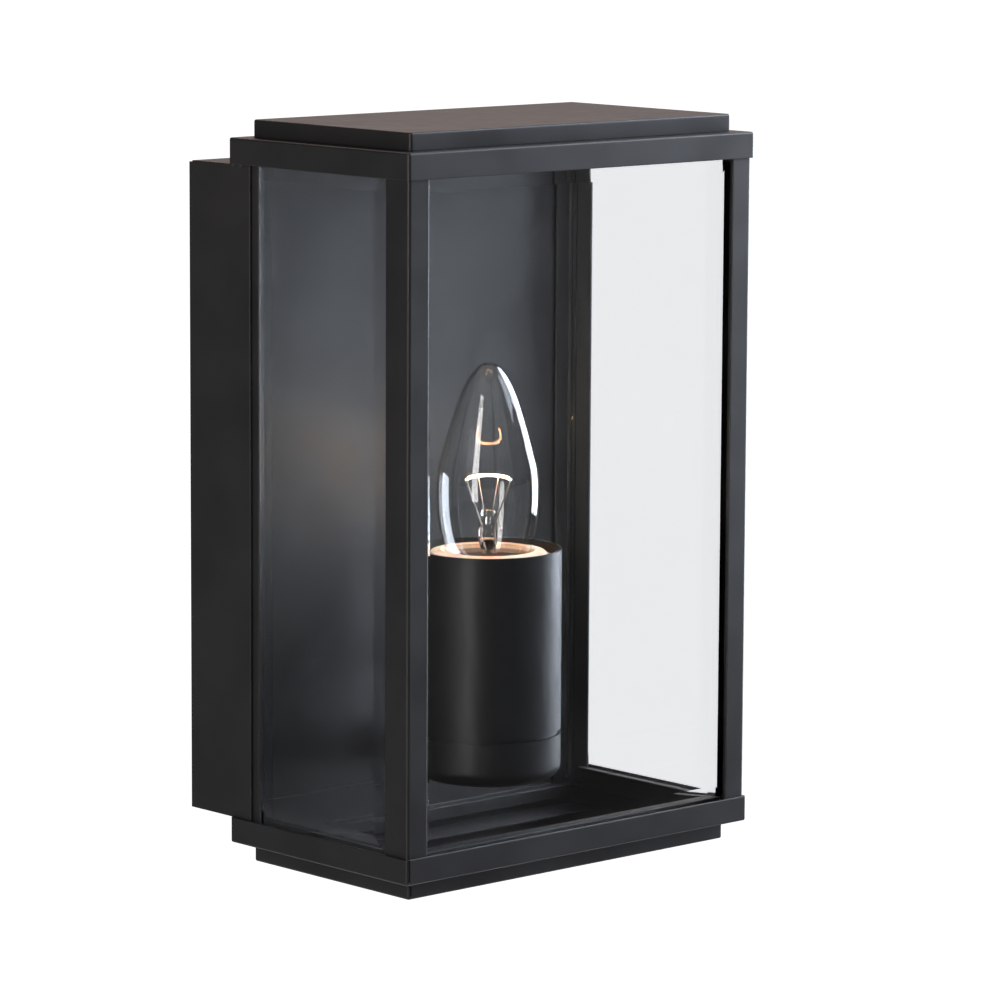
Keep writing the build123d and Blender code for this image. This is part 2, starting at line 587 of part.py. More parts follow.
# Glass mount: flare, pinch and the bead that carries the support wires.
PINCH_TOP = -13.0
BEAD_Z = -9.0
with BuildPart() as bulb_stem:
    add(turned([
        (0, LAMP_NECK - 3.5), (5.2, LAMP_NECK - 3.5), (5.2, LAMP_NECK - 2.5), (3.0, -33.0),
        (2.3, -27.0), (2.3, -21.0), (1.1, -19.0), (0.9, BEAD_Z - 1.5), (2.4, BEAD_Z - 0.9),
        (2.4, BEAD_Z + 0.9), (0, BEAD_Z + 1.3),
    ]))
    with Locations(Location((0, CUP_Y, (PINCH_TOP - 21) / 2), (0, 0, FILAMENT_TURN))):
        Box(6.4, 1.9, PINCH_TOP + 21)
save(bulb_stem.part, "bulb_stem")


def lamp_spot(across, z, away=0.0):
    """A point in the plane of the filament, turned to where the lamp stops."""
    turn = radians(FILAMENT_TURN)
    return (across * cos(turn) - away * sin(turn), CUP_Y + across * sin(turn) + away * cos(turn), z)


def wire_between(start, end, radius):
    with BuildPart() as wire:
        with BuildLine():
            Line(start, end)
        with BuildSketch(Plane(origin=start, z_dir=Vector(*end) - Vector(*start))):
            Circle(radius)
        sweep()
    return wire.part


FILAMENT_Z = 2.4
FILAMENT_HALF = 7.3
FILAMENT_BOW = 3.4         # the filament runs in a level horseshoe, this far each way
HOOK_ACROSS = 3.4
with BuildPart() as bulb_leads:
    for hand in (-1, 1):
        post_end = lamp_spot(hand * FILAMENT_HALF, FILAMENT_Z, -FILAMENT_BOW)
        add(wire_between(lamp_spot(hand * 2.2, PINCH_TOP), post_end, 0.3))
        hook_end = lamp_spot(hand * HOOK_ACROSS, FILAMENT_Z + 0.2, FILAMENT_BOW * 0.65)
        add(wire_between(lamp_spot(hand * 1.2, BEAD_Z + 0.8), hook_end, 0.15))
save(bulb_leads.part, "bulb_leads")

with BuildPart() as bulb_filament:
    with BuildLine():
        coil_line = ThreePointArc(
            lamp_spot(-FILAMENT_HALF, FILAMENT_Z + 0.3, -FILAMENT_BOW),
            lamp_spot(0, FILAMENT_Z + 0.9, FILAMENT_BOW),
            lamp_spot(FILAMENT_HALF, FILAMENT_Z + 0.3, -FILAMENT_BOW),
        )
    with BuildSketch(Plane(origin=coil_line @ 0, z_dir=coil_line % 0)):
        Circle(0.5)
    sweep()
save(bulb_filament.part, "bulb_filament")
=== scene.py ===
"""Looks of the outdoor wall lantern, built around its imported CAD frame. Metres, wall face at y = 0."""
import math

import bmesh
import bpy
from mathutils import Matrix, Vector


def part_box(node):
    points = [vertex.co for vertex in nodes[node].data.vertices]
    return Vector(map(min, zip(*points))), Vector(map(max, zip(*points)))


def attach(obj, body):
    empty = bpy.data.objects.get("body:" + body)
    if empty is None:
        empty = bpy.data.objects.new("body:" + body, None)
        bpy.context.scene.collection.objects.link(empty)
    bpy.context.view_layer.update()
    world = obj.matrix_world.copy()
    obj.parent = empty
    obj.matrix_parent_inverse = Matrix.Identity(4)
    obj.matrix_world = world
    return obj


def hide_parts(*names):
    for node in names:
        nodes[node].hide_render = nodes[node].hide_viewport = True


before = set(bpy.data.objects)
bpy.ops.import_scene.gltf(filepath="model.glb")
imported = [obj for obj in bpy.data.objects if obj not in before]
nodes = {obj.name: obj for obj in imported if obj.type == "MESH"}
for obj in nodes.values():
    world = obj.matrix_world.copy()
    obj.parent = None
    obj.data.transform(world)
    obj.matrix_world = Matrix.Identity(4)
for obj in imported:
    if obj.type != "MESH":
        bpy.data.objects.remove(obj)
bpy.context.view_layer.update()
MM = 0.001

# ---- back panel, box, roof, base and posts ----
# Folded 0.8 mm steel sheet with satin black polyester powder coat, baked on. The melt leaves a soft
# orange-peel skin, a fine even grain and slightly uneven gloss where the film is thinner. It rounds the
# sheet's sharp edges, which catch the light.
POWDER_BLACK = "#1b1a1b"
POWDER_WORN = "#232222"
ORANGE_PEEL = 1.6 * MM
POWDER_GRAIN = 0.35 * MM
FILM_ROUNDING = 0.6 * MM


def colour(hex_value):
    """An sRGB hex value as linear RGBA."""
    parts = [int(hex_value[i:i + 2], 16) / 255 for i in (1, 3, 5)]
    linear = [c / 12.92 if c <= 0.04045 else ((c + 0.055) / 1.055) ** 2.4 for c in parts]
    return (*linear, 1.0)


def add(material, kind, links=None, **settings):
    """Adds a node. Settings are its properties or input values, links its inputs' sources."""
    tree = material.node_tree
    node = tree.nodes.new(kind)
    for name, value in settings.items():
        if name in node.bl_rna.properties:
            setattr(node, name, value)
        else:
            node.inputs[name.replace("_", " ")].default_value = value
    for name, source in (links or {}).items():
        tree.links.new(source, node.inputs[name])
    return node


def new_material(name, base, roughness, **sockets):
    """A material with one Principled shader, ready for its patterns."""
    material = bpy.data.materials.new(name)
    material.use_nodes = True
    material.node_tree.nodes.clear()
    shader = add(material, "ShaderNodeBsdfPrincipled", Base_Color=colour(base), Roughness=roughness,
                 **sockets)
    shader.name = "shader"
    add(material, "ShaderNodeOutputMaterial", {"Surface": shader.outputs[0]}).name = "output"
    return material


def noise(material, size, detail=2.0, stretch=(1, 1, 1)):
    """Soft cells of about this size in metres, fixed to the piece."""
    place = add(material, "ShaderNodeTexCoord").outputs["Object"]
    mapped = add(material, "ShaderNodeMapping", {"Vector": place},
                 Scale=[1 / (size * s) for s in stretch])
    return add(material, "ShaderNodeTexNoise", {"Vector": mapped.outputs[0]}, Scale=1.0, Detail=detail)


def mottle(material, low, high, size, stretch=(1, 1, 1), socket="Base Color"):
    """Lets the colour, or another socket, drift between two values over patches of this size."""
    patches = noise(material, size, 3.0, stretch).outputs[0]
    shader = material.node_tree.nodes["shader"]
    if socket == "Base Color":
        ramp = add(material, "ShaderNodeValToRGB", {"Fac": patches})
        for stop, value, at in zip(ramp.color_ramp.elements, (low, high), (0.35, 0.65)):
            stop.color, stop.position = colour(value), at
        source = ramp.outputs[0]
    else:
        source = add(material, "ShaderNodeMapRange", {"Value": patches}, From_Min=0.35, From_Max=0.65,
                     To_Min=low, To_Max=high).outputs[0]
    material.node_tree.links.new(source, shader.inputs[socket])


def relief(material, *layers, rounding=0.0):
    """Bump from layers of (size, depth) in metres, the coarse one first, over edges rounded this much."""
    shader, normal = material.node_tree.nodes["shader"], None
    if rounding:
        normal = add(material, "ShaderNodeBevel", Radius=rounding, samples=6).outputs[0]
    for size, depth, *stretch in layers:
        height = noise(material, size, 2.0, *stretch).outputs[0]
        links = {"Height": height} if normal is None else {"Height": height, "Normal": normal}
        normal = add(material, "ShaderNodeBump", links, Distance=depth, Strength=1.0).outputs[0]
    material.node_tree.links.new(normal, shader.inputs["Normal"])


def finish_nodes(material, *names):
    """Gives carried-over CAD nodes this material."""
    for name in names:
        node = nodes[name]
        node.data.materials.clear()
        node.data.materials.append(material)


powder_coat = new_material("satin_black_powder_coat", POWDER_BLACK, 0.42)
mottle(powder_coat, POWDER_BLACK, POWDER_WORN, 38 * MM)
mottle(powder_coat, 0.40, 0.50, 22 * MM, socket="Roughness")
relief(powder_coat, (ORANGE_PEEL, 0.012 * MM), (POWDER_GRAIN, 0.0015 * MM), rounding=FILM_ROUNDING)
finish_nodes(powder_coat, "back_panel", "back_box", "roof_top", "roof_skirt", "roof_bead", "base_rim",
             "base_pan", "base_bead", "rear_rail", "post_front_left", "post_front_right",
             "post_rear_left", "post_rear_right")

# ---- solder beads between the roof skirt and the box ----
# Two small tacks of solder a side hold the roof to the box. Each is a drawn-out drop, coated with the rest.
TACK_LENGTH = 2.6 * MM
TACK_SPACING = 4.0 * MM


def mesh_piece(name, vertices, faces, material, body, slot, smooth_angle=40):
    """A new mesh object with its material, riding on its CAD body."""
    mesh = bpy.data.meshes.new(name)
    mesh.from_pydata([tuple(v) for v in vertices], [], faces)
    shape = bmesh.new()
    shape.from_mesh(mesh)
    bmesh.ops.recalc_face_normals(shape, faces=shape.faces)
    shape.to_mesh(mesh)
    shape.free()
    mesh.polygons.foreach_set("use_smooth", [True] * len(mesh.polygons))
    mesh.set_sharp_from_angle(angle=math.radians(smooth_angle))
    mesh.materials.append(material)
    piece = bpy.data.objects.new(name, mesh)
    bpy.context.scene.collection.objects.link(piece)
    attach(piece, body)
    return piece


def drop(centre, size, rings=10, sides=16):
    """Vertices and faces of a closed, slightly slumped drop."""
    vertices, faces = [], []
    for i in range(rings + 1):
        lift = math.pi * i / rings
        for j in range(sides):
            turn = 2 * math.pi * j / sides
            slump = 1 + 0.12 * math.sin(3 * turn + centre.y * 900) * math.sin(lift)
            vertices.append(centre + Vector((
                size.x * math.sin(lift) * math.cos(turn) * slump,
                size.y * math.sin(lift) * math.sin(turn) * slump,
                size.z * math.cos(lift),
            )))
    for i in range(rings):
        for j in range(sides):
            k = (j + 1) % sides
            faces.append((i * sides + j, i * sides + k, (i + 1) * sides + k, (i + 1) * sides + j))
    return vertices, faces


box_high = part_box("back_box")[1]
skirt_low, skirt_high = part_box("roof_skirt")
for side_name, hand in (("left", -1), ("right", 1)):
    for index in range(2):
        spot = Vector((hand * box_high.x, skirt_high.y - TACK_LENGTH / 2 - index * TACK_SPACING,
                       skirt_low.z + 0.1 * MM))
        shape = drop(spot, Vector((0.75 * MM, TACK_LENGTH / 2, 1.0 * MM)))
        mesh_piece(f"solder_tack_{side_name}_{index + 1}", *shape, powder_coat, "lantern_body",
                   "black_powder_coat")

# ---- body screws ----
# Two pan-head cross-recess screws, black passivated, driven from below.
black_screw = new_material("black_passivated_steel", "#1f1e1f", 0.36, Metallic=0.6)
mottle(black_screw, "#1b1a1b", "#2b292a", 1.5 * MM)
relief(black_screw, (0.5 * MM, 0.006 * MM))
finish_nodes(black_screw, "body_screws")

# ---- wall gasket and cable grommet ----
# The gasket is closed-cell EPDM foam, die cut: dull, with open cells at its cut faces. The grommet is
# moulded EPDM, smoother, with a faint bloom.
foam = new_material("closed_cell_epdm_foam", "#2b2b2c", 0.85)
mottle(foam, "#242425", "#343436", 1.2 * MM)
relief(foam, (0.9 * MM, 0.12 * MM), (0.35 * MM, 0.05 * MM))
finish_nodes(foam, "wall_gasket")
rubber = new_material("moulded_epdm", "#1d1d1e", 0.6)
mottle(rubber, "#1a1a1b", "#272728", 5 * MM)
relief(rubber, (0.6 * MM, 0.008 * MM))
finish_nodes(rubber, "cable_grommet")

# ---- wall plate, its angles, arm, nuts and screws ----
# Pressed and turned steel, bright zinc plated and passivated: blue-white, cloudy, with faint rolling lines.
zinc = new_material("bright_zinc_plate", "#b9bbbd", 0.32, Metallic=1.0)
mottle(zinc, "#a9abae", "#c6c8ca", 9 * MM)
mottle(zinc, 0.24, 0.42, 4 * MM, (1, 1, 6), "Roughness")
relief(zinc, (0.4 * MM, 0.004 * MM, (1, 1, 20)))
finish_nodes(zinc, "wall_plate", "plate_ears", "panel_screws", "earth_screw", "earth_tag", "lamp_arm",
             "arm_nuts", "holder_screws", "terminal_screws")

# ---- terminal block ----
# Natural polyamide, moulded and slightly see-through, on brass tubes with plated screws.
nylon = new_material("natural_polyamide", "#dcd8c8", 0.42, Subsurface_Weight=0.25, Subsurface_Scale=2 * MM)
mottle(nylon, "#d6d1bf", "#e2dfd2", 6 * MM)
relief(nylon, (0.7 * MM, 0.01 * MM))
finish_nodes(nylon, "terminal_block")
brass = new_material("plain_brass", "#d8b56a", 0.28, Metallic=1.0)
mottle(brass, "#c9a052", "#dfc07c", 3 * MM)
relief(brass, (0.3 * MM, 0.004 * MM))
finish_nodes(brass, "terminal_tubes", "thread_shell")

# ---- internal leads ----
# Single cores with PVC insulation: brown and blue inside the arm, green with a yellow stripe for earth.
for lead_name, jacket, deeper in (("live_lead", "#5a3420", "#4a2a19"),
                                  ("neutral_lead", "#2a63a8", "#235490")):
    pvc = new_material(f"pvc_{lead_name}", jacket, 0.38)
    mottle(pvc, deeper, jacket, 3 * MM)
    relief(pvc, (0.5 * MM, 0.006 * MM))
    finish_nodes(pvc, lead_name)
EARTH_GREEN = "#3f8f3a"
EARTH_YELLOW = "#e0c93a"
earth_pvc = new_material("pvc_earth_lead", EARTH_GREEN, 0.38)
stripe_place = add(earth_pvc, "ShaderNodeTexCoord").outputs["Object"]
stripe = add(earth_pvc, "ShaderNodeTexWave", {"Vector": stripe_place}, Scale=190.0, Distortion=0.6,
             bands_direction="DIAGONAL")
stripe_ramp = add(earth_pvc, "ShaderNodeValToRGB", {"Fac": stripe.outputs[0]})
stripe_ramp.color_ramp.interpolation = "CONSTANT"
stripe_ramp.color_ramp.elements[0].color = colour(EARTH_GREEN)
stripe_ramp.color_ramp.elements[1].position = 0.6
stripe_ramp.color_ramp.elements[1].color = colour(EARTH_YELLOW)
earth_pvc.node_tree.links.new(stripe_ramp.outputs[0],
                              earth_pvc.node_tree.nodes["shader"].inputs["Base Color"])
relief(earth_pvc, (0.5 * MM, 0.006 * MM))
finish_nodes(earth_pvc, "earth_lead")

# ---- lamp cup ----
# Drawn steel tube and pressed cap, stoved matt black: duller and blacker than the powder coat, dry to
# the touch, with a very fine grit in the paint.
MATT_GRIT = 0.45 * MM
matt_black = new_material("stoved_matt_black", "#0b0b0c", 0.44, Specular_IOR_Level=0.36)
mottle(matt_black, "#090909", "#0e0e0f", 16 * MM)
mottle(matt_black, 0.41, 0.47, 7 * MM, socket="Roughness")
relief(matt_black, (MATT_GRIT, 0.006 * MM))
finish_nodes(matt_black, "cup_base", "cup_shroud", "arm_spacer")

# ---- lampholder ----
# Black phenolic moulding with a brass thread shell and a phosphor bronze centre contact.
phenolic = new_material("black_phenolic", "#171413", 0.3)
mottle(phenolic, "#120f0e", "#221c19", 2.5 * MM)
relief(phenolic, (1.2 * MM, 0.006 * MM))
finish_nodes(phenolic, "lampholder_body")
bronze = new_material("phosphor_bronze", "#c78a5c", 0.3, Metallic=1.0)
mottle(bronze, "#b87a4c", "#d1986c", 2 * MM)
relief(bronze, (0.3 * MM, 0.004 * MM, (1, 6, 1)))
finish_nodes(bronze, "centre_contact")

# ---- panes ----
# 4 mm clear float glass, ground and polished to a shallow 10 mm bevel all round. Float glass is a little
# grey and very slightly wavy. Light passes to the inside, so shadow rays go straight through.
FLOAT_WAVE = 60 * MM


def let_light_in(material, tint):
    """Shadow rays pass the glass unbent, so that lamps light what is behind it."""
    tree = material.node_tree
    path = add(material, "ShaderNodeLightPath").outputs["Is Shadow Ray"]
    clear = add(material, "ShaderNodeBsdfTransparent", Color=colour(tint))
    mixed = add(material, "ShaderNodeMixShader",
                {0: path, 1: tree.nodes["shader"].outputs[0], 2: clear.outputs[0]})
    tree.links.new(mixed.outputs[0], tree.nodes["output"].inputs["Surface"])


pane_glass = new_material("bevelled_float_glass", "#f9fafb", 0.0, Transmission_Weight=1.0, IOR=1.5)
relief(pane_glass, (FLOAT_WAVE, 0.02 * MM))
let_light_in(pane_glass, "#fafcfb")
finish_nodes(pane_glass, "glass_front", "glass_left", "glass_right")

# ---- glazing seals ----
# Black neutral-cure silicone, gunned into the gap and tooled: slightly glossy and softly rippled.
silicone = new_material("black_glazing_silicone", "#151516", 0.35)
mottle(silicone, "#121213", "#1c1c1d", 8 * MM)
relief(silicone, (4 * MM, 0.08 * MM, (1, 1, 2)))
finish_nodes(silicone, "seal_front", "seal_left", "seal_right")

# ---- seal ring ----
# Cream silicone moulding between cup and lamp. It is soft and lets the lamp's warm light sink in.
cream = new_material("cream_silicone", "#d0b2a0", 0.45, Subsurface_Weight=0.6, Subsurface_Scale=2.5 * MM)
mottle(cream, "#c6a793", "#dabeac", 5 * MM)
relief(cream, (1.5 * MM, 0.02 * MM))
finish_nodes(cream, "seal_ring")

# ---- lamp envelope ----
# Clear soda glass blown as a candle, thin and with slow waves from blowing. The flame that closed the
# tip left a rounded nose outside and a thick drop of glass inside.
glass_low, glass_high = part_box("bulb_glass")
LAMP_Y = (glass_low.y + glass_high.y) / 2
LAMP_TIP = glass_high.z
GLASS_WALL = 0.65 * MM
NOSE_STARTS = 30 * MM


def smooth_line(points, steps):
    """A Catmull-Rom curve through (radius, height) points."""
    spots = [Vector(p) for p in points]
    ends = [2 * spots[0] - spots[1], *spots, 2 * spots[-1] - spots[-2]]
    line = []
    for a, b, c, d in zip(ends, ends[1:], ends[2:], ends[3:]):
        for i in range(steps):
            t = i / steps
            line.append(0.5 * (2 * b + (c - a) * t + (2 * a - 5 * b + 4 * c - d) * t ** 2
                               + (3 * b - a - 3 * c + d) * t ** 3))
    return line + [spots[-1]]


def lathe(outline, sides, squash=None):
    """Turns a closed (radius, height) outline about the lamp's axis."""
    vertices, faces, count = [], [], len(outline)
    for j in range(sides):
        turn = 2 * math.pi * j / sides
        for i, (radius, height) in enumerate(outline):
            flat = squash(height) if squash else (1, 1)
            vertices.append((radius * math.cos(turn) * flat[0],
                             LAMP_Y + radius * math.sin(turn) * flat[1], height))
    for j in range(sides):
        for i in range(count):
            k = (i + 1) % count
            a, b = j * count, ((j + 1) % sides) * count
            faces.append((a + i, a + k, b + k, b + i))
    return vertices, faces


envelope_outer = [(r * MM, z * MM) for r, z in (
    (6.0, -38.0), (6.0, -34.6), (7.2, -32.4), (13.4, -24.5), (16.6, -14.0), (17.55, -3.6), (17.1, 5.5),
    (15.2, 13.5), (12.6, 22.6), (9.6, 31.3), (6.7, 37.2), (4.1, 40.5), (2.4, 41.7))]
outer_line = smooth_line(envelope_outer, 6)
nose = [Vector((r * MM, LAMP_TIP - fall * MM)) for r, fall in ((1.5, 0.22), (0.9, 0.06), (0.4, 0.01), (0, 0))]
inner_line = [Vector((max(p.x - GLASS_WALL, 0), p.y - GLASS_WALL * (0.3 if p.y < NOSE_STARTS else 0.9)))
              for p in outer_line]
inner_line[0].y = outer_line[0].y
outline = outer_line + nose + [Vector((0, inner_line[-1].y - 0.25 * MM))] + inner_line[::-1]
lamp_glass = new_material("blown_soda_glass", "#fefefd", 0.0, Transmission_Weight=1.0, IOR=1.5)
relief(lamp_glass, (14 * MM, 0.03 * MM))
let_light_in(lamp_glass, "#fbfbfa")
envelope = mesh_piece("lamp_envelope", *lathe(outline, 128), lamp_glass, "lamp", "lamp_glass", 60)
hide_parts("bulb_glass")

# ---- glass mount ----
# A flared glass tube pressed flat round the leads, with a thin rod and a bead that carries the supports.
FILAMENT_TURN = math.radians(-42)
mount_outline = [(r * MM, z * MM) for r, z in (
    (5.2, -38.0), (5.2, -37.2), (3.6, -34.6), (2.6, -31.0), (2.3, -27.0), (2.3, -22.0), (2.6, -19.5),
    (2.6, -14.2), (2.0, -13.1), (0.9, -12.9), (0.8, -11.0), (0.9, -10.3), (2.1, -9.9), (2.5, -9.0),
    (2.1, -8.1), (0.9, -7.8))]
mount_line = smooth_line(mount_outline, 4) + [Vector((0, -7.7 * MM)), Vector((0, -38.0 * MM))]


def pinch(height):
    """The press flattens the tube between -20 and -13 mm."""
    grip = max(0.0, min(1.0, (height / MM + 21.5) / 3)) * max(0.0, min(1.0, (-12.6 - height / MM) / 0.8))
    return 1 + 0.25 * grip, 1 - 0.62 * grip


mount_vertices, mount_faces = lathe(mount_line, 48, squash=pinch)
spin = (Matrix.Translation((0, LAMP_Y, 0)) @ Matrix.Rotation(FILAMENT_TURN, 4, "Z")
        @ Matrix.Translation((0, -LAMP_Y, 0)))
mount_vertices = [spin @ Vector(v) for v in mount_vertices]
glass_mount = mesh_piece("lamp_glass_mount", mount_vertices, mount_faces, lamp_glass, "lamp",
                         "lamp_glass", 60)
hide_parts("bulb_stem")

# ---- filament and its wires ----
# A coiled tungsten wire runs in a level horseshoe between two nickel posts, held up by two molybdenum
# hooks. It glows at about 2700 K. The wires are drawn and slightly dulled by heat.
FILAMENT_HALF = 7.3 * MM
FILAMENT_BOW = 3.4 * MM
FILAMENT_Z = 2.7 * MM
FILAMENT_LIFT = 0.6 * MM
FILAMENT_RADIUS = (FILAMENT_HALF ** 2 + (2 * FILAMENT_BOW) ** 2) / (4 * FILAMENT_BOW)
FILAMENT_SPREAD = math.acos((FILAMENT_RADIUS - 2 * FILAMENT_BOW) / FILAMENT_RADIUS)
COIL_RADIUS = 0.42 * MM
COIL_TURNS = 66
COIL_STEPS = 12


def lamp_spot(across, height, away=0.0):
    """A point in the plane of the filament."""
    return spin @ Vector((across, LAMP_Y + away, height))


def wire_piece(name, lines, radius, material, body, sides=4):
    """Round wire along one or more lines of points, as one mesh."""
    curve = bpy.data.curves.new(name, "CURVE")
    curve.dimensions, curve.use_fill_caps = "3D", True
    curve.bevel_depth, curve.bevel_resolution = radius, sides
    for line in lines:
        spline = curve.splines.new("POLY")
        spline.points.add(len(line) - 1)
        for point, place in zip(spline.points, line):
            point.co = (*place, 1)
    holder = bpy.data.objects.new(name, curve)
    mesh = bpy.data.meshes.new_from_object(holder)
    bpy.data.objects.remove(holder)
    mesh.materials.append(material)
    mesh.polygons.foreach_set("use_smooth", [True] * len(mesh.polygons))
    piece = bpy.data.objects.new(name, mesh)
    bpy.context.scene.collection.objects.link(piece)
    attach(piece, body)
    return piece


def horseshoe(share, out=0.0, up=0.0):
    """A point on the filament's centreline at this share of its half length, or out and up from it."""
    turn, radius = share * FILAMENT_SPREAD, FILAMENT_RADIUS + out
    return lamp_spot(radius * math.sin(turn), FILAMENT_Z + FILAMENT_LIFT * (1 - share ** 2) + up,
                     FILAMENT_BOW - FILAMENT_RADIUS + radius * math.cos(turn))


coil = []
for step in range(COIL_TURNS * COIL_STEPS + 1):
    angle = 2 * math.pi * step / COIL_STEPS
    coil.append(horseshoe(2 * step / (COIL_TURNS * COIL_STEPS) - 1, COIL_RADIUS * math.sin(angle),
                          COIL_RADIUS * math.cos(angle)))
glowing = new_material("glowing_tungsten", "#ffb469", 0.5, Emission_Color=(1.0, 0.70, 0.40, 1.0),
                       Emission_Strength=140.0)
mottle(glowing, "#ff9f4a", "#ffc58a", 1 * MM)
filament = wire_piece("lamp_filament", [coil], 0.1 * MM, glowing, "lamp", 2)
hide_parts("bulb_filament")

nickel_wire = new_material("nickel_lamp_wire", "#a8a39b", 0.3, Metallic=1.0)
mottle(nickel_wire, "#96918a", "#b5b1aa", 2 * MM)
relief(nickel_wire, (0.3 * MM, 0.002 * MM))
HOOK_SHARE = 0.32
HOOK_LOOP = 0.62 * MM
posts, hooks = [], []
for hand in (-1, 1):
    posts.append([lamp_spot(hand * 2.2 * MM, -20 * MM), lamp_spot(hand * 2.2 * MM, -13 * MM),
                  lamp_spot(hand * 2.9 * MM, -11 * MM, -0.5 * MM),
                  lamp_spot(hand * 6.9 * MM, 0.6 * MM, -3.2 * MM),
                  horseshoe(hand), horseshoe(hand, 0, 0.9 * MM)])
    loop = [horseshoe(hand * HOOK_SHARE, HOOK_LOOP * math.cos(a), HOOK_LOOP * math.sin(a))
            for a in (math.radians(d) for d in range(-90, 200, 20))]
    hooks.append([lamp_spot(hand * 1.2 * MM, -9.4 * MM)] + loop)
leads = wire_piece("lamp_lead_posts", posts, 0.28 * MM, nickel_wire, "lamp")
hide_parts("bulb_leads")
wire_piece("lamp_filament_hooks", hooks, 0.13 * MM, nickel_wire, "lamp")

# ---- lamp cap ----
# Nickel-plated brass, rolled to the E14 thread and cemented to the glass, with a black vitrite insulator,
# a tin contact and a spot of solder at the rim for the side lead.
THREAD_PITCH = 2.822 * MM
CAP_CREST = 6.95 * MM
CAP_ROOT = 6.4 * MM
CAP_WALL = 0.25 * MM
cap_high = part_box("bulb_cap")[1]
nickel = new_material("nickelled_brass", "#c9c5bb", 0.22, Metallic=1.0)
mottle(nickel, "#bdb8ac", "#d3d0c8", 4 * MM)
relief(nickel, (0.5 * MM, 0.004 * MM))
thread_high = cap_high.z - 2.5 * MM
thread_low = thread_high - 6 * THREAD_PITCH
cap_vertices, cap_faces = [], []
CAP_SIDES, CAP_RINGS = 72, 84
for wall, shrink in ((0, 0.0), (1, CAP_WALL)):
    for i in range(CAP_RINGS + 1):
        height = cap_high.z + (thread_low - 1.2 * MM - cap_high.z) * i / CAP_RINGS
        for j in range(CAP_SIDES):
            turn = 2 * math.pi * j / CAP_SIDES
            phase = 2 * math.pi * (thread_high - height) / THREAD_PITCH - turn
            blend = (min(1.0, max(0.0, (thread_high - height) / MM))
                     * min(1.0, max(0.0, (height - thread_low) / MM + 0.4)))
            threaded = CAP_ROOT + (CAP_CREST - CAP_ROOT) * (0.5 - 0.5 * math.cos(phase))
            plain = CAP_CREST if height > thread_high else CAP_ROOT
            radius = plain + (threaded - plain) * blend - shrink
            cap_vertices.append((radius * math.cos(turn), LAMP_Y + radius * math.sin(turn), height))
rings = CAP_RINGS + 1
for wall in range(2):
    for i in range(CAP_RINGS):
        for j in range(CAP_SIDES):
            k, row = (j + 1) % CAP_SIDES, (wall * rings + i) * CAP_SIDES
            cap_faces.append((row + j, row + k, row + CAP_SIDES + k, row + CAP_SIDES + j))
for i in (0, CAP_RINGS):
    for j in range(CAP_SIDES):
        k = (j + 1) % CAP_SIDES
        outer_row, inner_row = i * CAP_SIDES, (rings + i) * CAP_SIDES
        cap_faces.append((outer_row + j, outer_row + k, inner_row + k, inner_row + j))
cap = mesh_piece("lamp_cap_shell", cap_vertices, cap_faces, nickel, "lamp", "cap_brass_nickel")
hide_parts("bulb_cap")
vitrite = new_material("black_vitrite", "#0f0f12", 0.12, Coat_Weight=0.3)
mottle(vitrite, "#0c0c0f", "#17171c", 3 * MM)
relief(vitrite, (1.0 * MM, 0.01 * MM))
finish_nodes(vitrite, "bulb_insulator")
tin = new_material("tin_solder", "#b4b4b2", 0.34, Metallic=1.0)
mottle(tin, "#a2a2a0", "#c2c2c0", 1 * MM)
relief(tin, (0.8 * MM, 0.03 * MM))
finish_nodes(tin, "bulb_contact")
side_spot = Vector((CAP_CREST - 0.15 * MM, LAMP_Y, cap_high.z - 0.9 * MM))
mesh_piece("lamp_cap_solder", *drop(side_spot, Vector((0.5, 1.1, 0.8)) * MM), tin, "lamp", "solder")

# ---- lamp light ----
# The filament's own light, as a small warm lamp inside the envelope that rides with it.
glow = bpy.data.objects.new("filament_light", bpy.data.lights.new("filament_light", "POINT"))
glow.data.color = (1.0, 0.70, 0.46)
glow.data.energy = 0.02
glow.data.shadow_soft_size = 4 * MM
glow.location = lamp_spot(0, FILAMENT_Z)
glow.visible_camera = glow.visible_transmission = glow.visible_glossy = False
bpy.context.scene.collection.objects.link(glow)
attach(glow, "lamp")

# ---- floor, surroundings, lights and camera ----
# A pale floor well below the lantern, which hangs on a wall, and a white studio behind it. Softboxes stand
# to the right, high at the right front, to the left and behind, as black satin shows mainly what it
# mirrors. The low edge of the front one stays above what the panes' bevels mirror.
FLOOR_DROP = 0.9
FLOOR_SIZE = 60.0
STUDIO_GREY = 0.045
AIM = Vector((0, -0.06, 0))
CAMERA_AZIMUTH = math.radians(-42.515)
CAMERA_HEIGHT = math.radians(8.404)
CAMERA_ROLL = math.radians(0.314)
CAMERA_SPOT = Vector((-1.10037, -1.27076, 0.23649))
LENS = 175.69


def first_sight(material, seen, mirrored):
    """One level where the eye sees this straight or through glass, another where the lantern mirrors it."""
    path = add(material, "ShaderNodeLightPath")
    bounces = add(material, "ShaderNodeMath",
                  {0: path.outputs["Diffuse Depth"], 1: path.outputs["Glossy Depth"]})
    return add(material, "ShaderNodeMapRange", {"Value": bounces.outputs[0]},
               To_Min=seen, To_Max=mirrored).outputs[0]


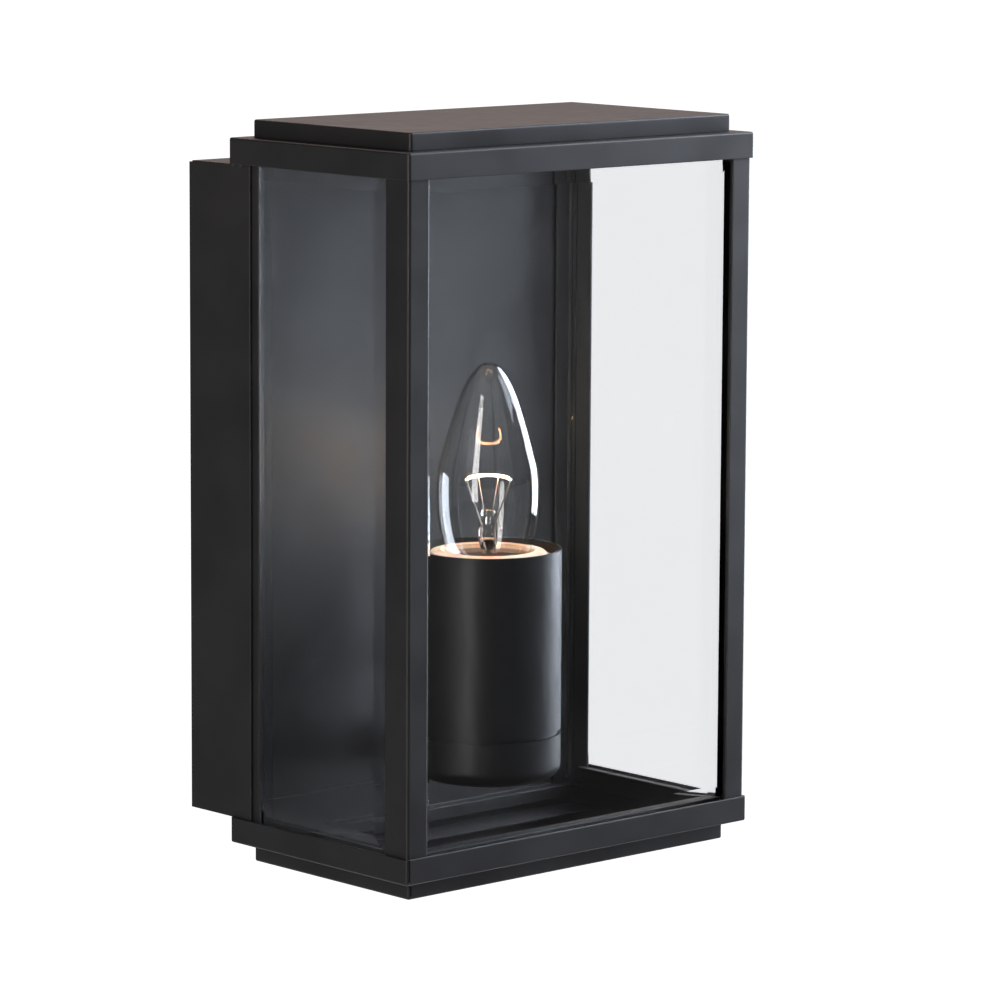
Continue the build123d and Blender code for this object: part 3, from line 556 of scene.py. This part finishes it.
paint = new_material("pale_floor_paint", "#f4f4f4", 0.9, Emission_Color=(1, 1, 1, 1))
mottle(paint, "#f2f2f2", "#f7f7f7", 400 * MM)
paint_shader = paint.node_tree.nodes["shader"]
paint.node_tree.links.new(first_sight(paint, 1.06, 0.0), paint_shader.inputs["Emission Strength"])
half = FLOOR_SIZE / 2
floor_mesh = bpy.data.meshes.new("floor")
corners = ((-half, -half), (half, -half), (half, half), (-half, half))
floor_mesh.from_pydata([(x, y, -FLOOR_DROP) for x, y in corners], [], [(0, 1, 2, 3)])
floor_mesh.materials.append(paint)
floor = bpy.data.objects.new("floor", floor_mesh)
bpy.context.scene.collection.objects.link(floor)

world = bpy.data.worlds.new("studio")
bpy.context.scene.world = world
world.use_nodes = True
world.node_tree.nodes.clear()
sky = add(world, "ShaderNodeBackground", {"Strength": first_sight(world, 1.0, STUDIO_GREY)},
          Color=(1, 1, 1, 1))
add(world, "ShaderNodeOutputWorld", {"Surface": sky.outputs[0]})


def softbox(name, azimuth, height, distance, width, tall, power, tint):
    """An area light at this azimuth from the front, aimed at the lantern."""
    lamp = bpy.data.lights.new(name, "AREA")
    lamp.shape, lamp.size, lamp.size_y = "RECTANGLE", width, tall
    lamp.energy, lamp.color = power, colour(tint)[:3]
    box = bpy.data.objects.new(name, lamp)
    turn = math.radians(azimuth)
    box.location = AIM + Vector((distance * math.sin(turn), -distance * math.cos(turn), height))
    aim = AIM - box.location
    box.rotation_euler = aim.to_track_quat("-Z", "Y").to_euler()
    box.visible_camera = False
    bpy.context.scene.collection.objects.link(box)


softbox("softbox_right_front", 60, 0.72, 1.0, 0.8, 0.7, 10, "#e6eeff")
softbox("softbox_right", 83, 0.18, 0.9, 0.6, 0.8, 23, "#e9f1ff")
softbox("softbox_left", -74, 0.3, 1.2, 0.26, 1.1, 9, "#fffaf6")
softbox("softbox_top", 142, 0.9, 1.0, 0.9, 0.9, 4.5, "#ffe6dc")

camera = bpy.data.objects.new("camera", bpy.data.cameras.new("camera"))
camera.data.lens = LENS
camera.data.sensor_width = 36
back = Vector((math.sin(CAMERA_AZIMUTH) * math.cos(CAMERA_HEIGHT),
               -math.cos(CAMERA_AZIMUTH) * math.cos(CAMERA_HEIGHT), math.sin(CAMERA_HEIGHT)))
level_right = (-back).cross(Vector((0, 0, 1))).normalized()
facing = Matrix((level_right, back.cross(level_right), back)).transposed().to_4x4()
camera.matrix_world = Matrix.Translation(CAMERA_SPOT) @ facing @ Matrix.Rotation(CAMERA_ROLL, 4, "Z")
bpy.context.scene.collection.objects.link(camera)
bpy.context.scene.camera = camera
bpy.context.scene.view_settings.view_transform = "Standard"
